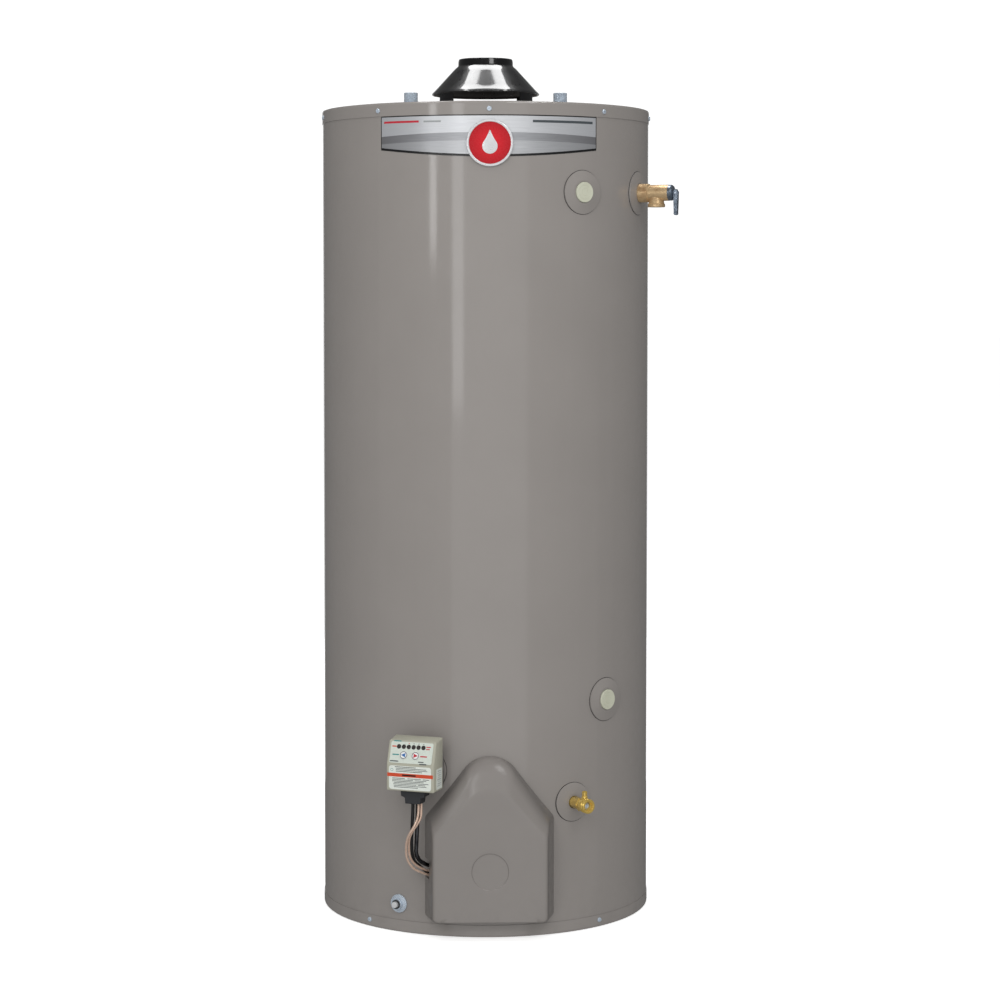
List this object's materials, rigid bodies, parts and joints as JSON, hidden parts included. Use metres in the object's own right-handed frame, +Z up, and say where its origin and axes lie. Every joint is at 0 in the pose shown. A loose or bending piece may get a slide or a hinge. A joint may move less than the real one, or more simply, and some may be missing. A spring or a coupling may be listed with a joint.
{
  "type": "tank water heater",
  "caption": "Tall round gas storage water heater with draft hood, relief and drain valves, electronic gas control and lift-off burner cover.",
  "frame": {"origin": "the tank's axis at the floor, on the underside of the base pan", "axes": "+Z up along the tank's axis, -Y towards the front (burner cover), +X to the right seen from the front"},
  "size_m": [0.6544, 0.6755, 1.587],
  "materials": {
    "jacket_paint": "satin warm grey enamel",
    "cover_paint": "satin warm grey enamel",
    "tank_steel": "plain rolled steel, glass lined inside",
    "flue_steel": "plain steel",
    "insulation_foam": "rigid foam",
    "fibre_blanket": "glass fibre",
    "anode_metal": "extruded magnesium alloy",
    "dark_plastic": "moulded, matt",
    "tube_plastic": "extruded plastic",
    "zinc_steel": "bright zinc plate",
    "black_enamel": "gloss black enamel",
    "plug_plastic": "pale moulded plastic",
    "relief_brass": "cast and turned brass",
    "lever_steel": "blue grey plated steel",
    "copper_sheath": "drawn copper",
    "drain_brass": "polished turned brass",
    "control_casting": "die casting",
    "housing_plastic": "moulded beige grey",
    "board_green": "circuit board",
    "panel_film": "pale printed film",
    "lamp_window": "dark smoked window",
    "label_film": "pale film",
    "button_plastic": "pale moulded plastic",
    "feed_aluminium": "drawn tube",
    "black_sleeve": "black sleeving",
    "igniter_button_plastic": "pale moulded plastic",
    "plate_silver": "brushed silver foil",
    "badge_red": "red enamel in a silver ring",
    "glass_window": "heat proof glass",
    "burner_steel": "pressed steel"
  },
  "bodies": {
    "heater": {"base_pan": "jacket_paint", "jacket": "jacket_paint", "top_pan": "jacket_paint", "top_screws": "zinc_steel", "base_screws": "zinc_steel", "tank_shell": "tank_steel", "top_head": "tank_steel", "bottom_head": "tank_steel", "flue_tube": "flue_steel", "flue_baffle": "flue_steel", "foam_insulation": "insulation_foam", "top_insulation": "fibre_blanket", "lower_blanket": "fibre_blanket", "anode_rod": "anode_metal", "anode_cap": "dark_plastic", "dip_tube": "tube_plastic", "cold_nipple": "zinc_steel", "hot_nipple": "zinc_steel", "nipple_liners": "tube_plastic", "draft_hood": "black_enamel", "hood_legs": "black_enamel", "hood_screws": "zinc_steel", "tank_spuds": "tank_steel", "side_tap_plugs": "plug_plastic", "escutcheons": "jacket_paint", "relief_valve_body": "relief_brass", "relief_valve_cap": "lever_steel", "relief_probe": "copper_sheath", "relief_spring": "zinc_steel", "drain_valve_body": "drain_brass", "control_valve_body": "control_casting", "control_well": "zinc_steel", "control_housing": "housing_plastic", "control_board": "board_green", "control_panel": "panel_film", "indicator_lamps": "lamp_window", "instruction_labels": "label_film", "connector_boot": "dark_plastic", "burner_feed_tube": "feed_aluminium", "pilot_tube": "copper_sheath", "thermopile_lead": "copper_sheath", "igniter_lead": "black_sleeve", "igniter_bezel": "zinc_steel", "igniter_nut": "zinc_steel", "igniter_barrel": "dark_plastic", "name_plate": "plate_silver", "round_badge": "badge_red", "inner_door": "tank_steel", "sight_glass": "glass_window", "main_burner": "burner_steel", "pilot_burner": "drain_brass"},
    "relief_stem": {"relief_stem": "zinc_steel", "relief_lever_pin": "zinc_steel"},
    "relief_lever": {"relief_lever": "lever_steel"},
    "drain_stem": {"drain_stem": "drain_brass", "drain_ball": "zinc_steel"},
    "cooler_button": {"cooler_button": "button_plastic"},
    "hotter_button": {"hotter_button": "button_plastic"},
    "igniter_button": {"igniter_button": "igniter_button_plastic"},
    "burner_cover": {"burner_cover": "cover_paint"}
  },
  "joints": [
    {"name": "stem_lift", "type": "slide", "parent": "heater", "child": "relief_stem", "axis": [0.9033, -0.4289, 0], "range_m": [0, 0.003], "stiffness_N_per_m": 1000, "deforming": ["relief_spring"]},
    {"name": "lever_turn", "type": "hinge", "parent": "relief_stem", "child": "relief_lever", "pos_m": [0.34264, -0.1627, 1.333], "axis": [-0.4289, -0.9033, 0], "range_deg": [0, 85]},
    {"name": "drain_turn", "type": "hinge", "parent": "heater", "child": "drain_stem", "pos_m": [0.16967, -0.29867, 0.2365], "axis": [0, 0, 1], "range_deg": [0, 90]},
    {"name": "cooler_press", "type": "slide", "parent": "heater", "child": "cooler_button", "axis": [0.3531, 0.8783, -0.3223], "range_m": [0, 0.001], "stiffness_N_per_m": 800},
    {"name": "hotter_press", "type": "slide", "parent": "heater", "child": "hotter_button", "axis": [0.3531, 0.8783, -0.3223], "range_m": [0, 0.001], "stiffness_N_per_m": 800},
    {"name": "igniter_press", "type": "slide", "parent": "heater", "child": "igniter_button", "axis": [0.5314, 0.8471, 0], "range_m": [0, 0.005], "stiffness_N_per_m": 1200},
    {"name": "cover_lift_off", "type": "slide", "parent": "heater", "child": "burner_cover", "axis": [0, -1, 0], "range_m": [0, 0.15]}
  ],
  "couplings": [
    {"joint": "lever_turn", "follows": "stem_lift", "rad_per_m": 494.5}
  ]
}
